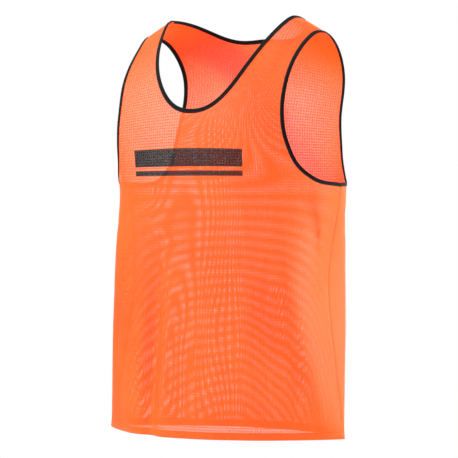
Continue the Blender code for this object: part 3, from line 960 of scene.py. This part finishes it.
def knit_strip():
    """Soft black rib knit, with a dimple at every stitch."""
    material, tree, shader, cut, _ = dyed_material(
        "black_binding", BLACK, patches=20.0, grain=1500.0, amount=0.35, roughness=0.72,
        plain_values={"Sheen Weight": 0.03, "Specular IOR Level": 0.10})
    along, over, _ = split(tree, cut)
    rib = (over * (2 * math.pi / RIB_PITCH)).step("SINE")
    loop = (along * (4 * math.pi / RIB_PITCH)).step("SINE")
    dimple = (along * (2 * math.pi / STITCH_PITCH)).step("COSINE")
    add_bump(tree, shader, rib * RIB_RELIEF + loop * LOOP_RELIEF + dimple * DIMPLE_RELIEF, strength=0.6)
    return material


black_binding = knit_strip()
print("strip material:", black_binding.name)

# %% [markdown]
# ## Sweeping the strips
# A station is a point of the cut's edge with the point of the strip's border beside it,
# and the outward step at each. Where the front and the back meet, at a shoulder or a
# side seam, one station serves both, so every strip is one closed loop.

# %% Swept strips
STRIP_WALL = 0.0009
STRIP_EDGE = 0.0003              # the strip's own edge stands this proud of the cloth
STRIP_STEP = 0.0032
HALF_ROUND = np.linspace(np.radians(20), np.radians(160), 6)
STRIP_FACE = (                   # share of the way to the edge, and how proud it stands there
    (0.0, STRIP_EDGE), (0.10, 0.85 * STRIP_WALL), (0.5, STRIP_WALL), (0.92, STRIP_WALL))


def stations(edge, side, towards):
    """Edge points and strip edge points of one side, each with its outward step."""
    edge_points, edge_step = surface(*edge.T, side)
    inner = inset(edge, towards * STRIP_WIDTH)
    foot = ARMHOLE_FOOT - STRIP_WIDTH
    for end in (0, -1):
        if abs(edge[end, 1] - ridge(side)) < SAME_POINT:
            turn = np.sign(inner[end, 0] - edge[end, 0])
            inner[end] = (edge[end, 0] + turn * STRIP_WIDTH, ridge(side))
        elif abs(edge[end, 1] - ARMHOLE_FOOT) < SAME_POINT:
            inner[end] = (np.sign(edge[end, 0]) * seam(foot, side)[0], foot)
    inner_points, inner_step = surface(*inner.T, side)
    return np.stack([edge_points, edge_step, inner_points, inner_step], 1)


def joined_loop(first, second):
    """One closed run of stations; where the two sides meet, one station serves both."""
    ends = [(first[-1] + second[0]) / 2, (second[-1] + first[0]) / 2]
    return np.concatenate([ends[1:], first[1:-1], ends[:1], second[1:-1]])


def neck_stations():
    front = stations(neckline("front", STRIP_STEP), "front", -1)
    back = stations(neckline("back", STRIP_STEP)[::-1], "back", 1)
    return joined_loop(front, back)


def armhole_stations(hand):
    """Stations up the front of one armhole and down its back."""
    turn = 1 if hand == "left" else -1
    flip = np.array([turn, 1.0])
    front = stations(armhole("front", STRIP_STEP) * flip, "front", turn)
    back = stations(armhole("back", STRIP_STEP) * flip, "back", turn)
    return joined_loop(front, back[::-1])


def strip_outline(edge, step, inner, inner_step):
    """The strip's section at one station, from the outer border over the fold to the inner."""
    def beside(share, proud):
        return inner + share * (edge - inner) + proud * (inner_step + share * (step - inner_step))

    away = unit(edge - inner)
    radius = CLOTH / 2 + STRIP_WALL
    middle = edge - step * CLOTH / 2
    return np.array([
        *(beside(share, proud) for share, proud in STRIP_FACE),
        *(middle + radius * (np.cos(turn) * step + np.sin(turn) * away) for turn in HALF_ROUND),
        *(beside(share, -CLOTH - proud) for share, proud in reversed(STRIP_FACE))])


def closed_lengths(points):
    """Distance along a closed run of points."""
    return lengths(np.concatenate([points, points[:1]]))


def tube_faces(rings, around, start=0):
    """Faces of a tube whose points are numbered ring by ring."""
    return [(low + j, low + k, low + around + k, low + around + j)
            for low in range(start, start + (rings - 1) * around, around)
            for j, k in zip(range(around), [*range(1, around), 0])]


def swept_strip(name, loop, material):
    """The folded strip swept round a closed run of stations."""
    sections = np.array([strip_outline(*station) for station in loop])
    count, around = sections.shape[:2]
    # the first section is repeated at the end, so that the map runs on without a jump
    points = np.concatenate([sections, sections[:1]]).reshape(-1, 3)
    cut_map = np.stack(np.meshgrid(closed_lengths(loop[:, 0]), lengths(sections[0]), indexing="ij"), -1)
    return new_piece(name, points, tube_faces(count + 1, around), cut_map.reshape(-1, 2), material)


loops = {"neck": neck_stations(), "armhole_left": armhole_stations("left"),
         "armhole_right": armhole_stations("right")}
for edge_name, loop in loops.items():
    piece = swept_strip(f"{edge_name}_strip", loop, black_binding)
    node = "neck_binding" if edge_name == "neck" else edge_name.replace("armhole", "armhole_binding")
    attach(piece, "root")
    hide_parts(node)
    print(piece.name, round(float(closed_lengths(loop[:, 0])[-1]), 3), "m long")

# %% [markdown]
# ## Stitches
# Lockstitch shows as a row of short beads of thread, each dipping into the cloth at both
# ends. Every bead is a small tapered capsule, and a whole row is one mesh. The hems have
# two rows, as a twin needle sews them, and each binding has one close to its border.

# %% Stitch builder
THREAD = 0.00023                 # radius of the sewing thread
BEAD = 0.74                      # share of the stitch pitch that shows
BEAD_RINGS = ((0.0, 0.45, -0.6), (0.25, 0.95, 0.5), (0.75, 0.95, 0.5), (1.0, 0.45, -0.6))
BEAD_SIDES = 5
BEAD_PROBE = 1e-4                # step used to find which way the row runs


def end_faces(rings, around, start=0):
    """The two faces that close a tube's ends."""
    last = start + (rings - 1) * around
    return [tuple(reversed(range(start, start + around))), tuple(range(last, last + around))]


def stitch_row(points, out, pitch=STITCH_PITCH):
    """Beads of thread along a line: their points and faces."""
    length = lengths(points)
    count = int(length[-1] / pitch)
    starts = (np.arange(count) + 0.5 * (1 - BEAD)) * length[-1] / count
    turns = np.linspace(0, 2 * np.pi, BEAD_SIDES, endpoint=False)[None, :, None]
    made, faces = [], []
    for share, thick, proud in BEAD_RINGS:
        at = starts + share * BEAD * pitch
        normal = unit(read_line(out, at, length))
        along = unit(read_line(points, at + BEAD_PROBE, length)
                     - read_line(points, at - BEAD_PROBE, length))
        beside = np.cross(along, normal)
        centre = read_line(points, at, length) + proud * THREAD * normal
        made.append(centre[:, None] + thick * THREAD * (
            np.cos(turns) * beside[:, None] + np.sin(turns) * normal[:, None]))
    rings = len(BEAD_RINGS)
    for start in range(0, count * rings * BEAD_SIDES, rings * BEAD_SIDES):
        faces += tube_faces(rings, BEAD_SIDES, start) + end_faces(rings, BEAD_SIDES, start)
    return np.stack(made, 1).reshape(-1, 3), faces


def sewn(name, rows, material):
    """Several rows of stitches as one piece."""
    points, faces, total = [], [], 0
    for row_points, row_faces in rows:
        points.append(row_points)
        faces += [tuple(i + total for i in face) for face in row_faces]
        total += len(row_points)
    points = np.concatenate(points)
    piece = new_piece(name, points, faces, points[:, [0, 2]], material)
    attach(piece, "root")
    print(name, len(faces), "faces")
    return piece


def thread_material(name, colour):
    """Twisted polyester thread."""
    return dyed_material(name, colour, patches=60.0, grain=4000.0, amount=0.3, roughness=0.5,
                         plain_values={"Sheen Weight": 0.2})[0]


orange_thread = thread_material("orange_thread", (0.90, 0.075, 0.018, 1.0))
black_thread = thread_material("black_thread", (0.014, 0.014, 0.016, 1.0))
print("threads:", orange_thread.name, black_thread.name)

# %% [markdown]
# ## The sewn rows
# A hem's two rows show on both of its faces. The stitches of a binding hold both halves
# of the strip, so they show outside and inside too.

# %% Sewn rows
HEM_ROWS = (0.0018, 0.0072)      # distance of the two rows below the hem's upper border
HEM_ROW_REACH = 0.996            # a row stops just short of the side seams
HEM_ROW_SAMPLES = 400
BINDING_ROW = 0.24               # place of the row across the strip, from its border
ROW_PROUD = 0.93 * STRIP_WALL    # the thread pulls a little way into the strip


def hem_rows(side):
    """Both rows on the outside and the inside of one hem."""
    width = seam(HEM_RISE, side)[0]
    across = np.linspace(-width, width, HEM_ROW_SAMPLES) * HEM_ROW_REACH
    rows = []
    for below in HEM_ROWS:
        up = hem_rise(across, side) + HEM_DEPTH - below
        reach = across * seam(up, side) / width
        points, step = surface(reach, up, side)
        rows.append(stitch_row(points, step))
        rows.append(stitch_row(points - (2 * CLOTH + FLAP_GAP) * step, -step))
    return rows


def binding_rows(loop):
    """One row on each face of a binding."""
    edge, step, inner, inner_step = (np.concatenate([loop[:, k], loop[:1, k]]) for k in range(4))
    line = inner + BINDING_ROW * (edge - inner)
    out = unit(inner_step + BINDING_ROW * (step - inner_step))
    return [stitch_row(line + ROW_PROUD * out, out),
            stitch_row(line - (CLOTH + ROW_PROUD) * out, -out)]


stitches = {side: sewn(f"{side}_hem_stitches", hem_rows(side), orange_thread)
            for side in ("front", "back")}
for edge_name, loop in loops.items():
    stitches[edge_name] = sewn(f"{edge_name}_stitches", binding_rows(loop), black_thread)

# %% [markdown]
# ## Seam allowances
# Inside a side seam the two raw edges lie together, trimmed to seven millimetres and
# wrapped by overlock thread. They are pressed towards the back. Doubled cloth lets less
# light through, so from outside the seam reads as a soft darker line.

# %% Seam allowances
ALLOWANCE = 0.007
ALLOWANCE_STEP = 0.005
ALLOWANCE_ENDS = (0.001, 0.002)  # kept clear of the hem and of the armhole
SHOULDER_SAMPLES = 12
SHOULDER_CLEARANCE = 0.0002      # kept clear of the shoulder seam
SECTION = (                      # share of the way to the free edge, and depth under the cloth
    (0.02, 0.0010), (0.5, 0.0013), (1.0, 0.0012), (1.0, 0.0002), (0.5, 0.0002), (0.02, 0.0002))
OVERLOCK_PITCH = 0.0026
OVERLOCK_START = 0.35            # share of the allowance that the thread leaves bare
OVERLOCK_DEPTHS = (0.0014, 0.0012)   # under the cloth, at its start and at the free edge
OVERLOCK_BEAD = 0.9              # each slanting thread is one bead of this share


def allowance_strip(lines, material, name):
    """Doubled cloth that lies on the back's inner face, from a seam line to a free edge."""
    points, cut_map, faces = [], [], []
    for seam_line, free_line in lines:
        rings, start = len(seam_line), len(SECTION) * sum(map(len, points))
        corners, flat = [], []
        for share, depth in SECTION:
            line = seam_line + share * (free_line - seam_line)
            point, step = surface(*line.T, "back")
            corners.append(point - (CLOTH + depth) * step)
            flat.append(line)
        points.append(np.stack(corners, 1))
        cut_map.append(np.stack(flat, 1))
        faces += tube_faces(rings, len(SECTION), start) + end_faces(rings, len(SECTION), start)
    return new_piece(name, np.concatenate(points).reshape(-1, 3), faces,
                     np.concatenate(cut_map).reshape(-1, 2), material)


def seam_lines():
    """Seam line and free edge of the two side seams and the two shoulder seams."""
    low, high = ALLOWANCE_ENDS
    rows = np.arange(HEM_RISE + low, ARMHOLE_FOOT - high, ALLOWANCE_STEP)
    width = seam(rows, "back")
    strap = np.linspace(NECK_HALF_WIDTH + low, SHOULDER_TIP - low, SHOULDER_SAMPLES)
    top = ridge("back") - SHOULDER_CLEARANCE
    return [(on_cut(turn * x, y), on_cut(turn * free_x, free_y))
            for turn in (-1, 1)
            for x, y, free_x, free_y in ((width, rows, width - ALLOWANCE, rows),
                                         (strap, top, strap, top - ALLOWANCE))]


def overlock_rows(lines):
    """Slanting thread over the free edge of each seam allowance."""
    rows = []
    for seam_line, free_line in lines:
        count = int(lengths(seam_line)[-1] / OVERLOCK_PITCH)
        knots = np.arange(len(seam_line))
        at = (np.arange(count) + 0.5) / count * knots[-1]
        near = read_line(seam_line + OVERLOCK_START * (free_line - seam_line), at, knots)
        start, step = surface(*near.T, "back")
        end, end_step = surface(*read_line(free_line, at, knots).T, "back")
        start = start - (CLOTH + OVERLOCK_DEPTHS[0]) * step
        end = end - (CLOTH + OVERLOCK_DEPTHS[1]) * end_step
        for a, b, out in zip(start, end, -step):
            rows.append(stitch_row(np.stack([a, b]), np.stack([out, out]),
                                   pitch=OVERLOCK_BEAD * np.linalg.norm(b - a)))
    return rows


allowances = allowance_strip(seam_lines(), plain_mesh, "seam_allowances")
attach(allowances, "root")
sewn("overlock_thread", overlock_rows(seam_lines()), orange_thread)
print(allowances.name, len(allowances.data.polygons), "faces")
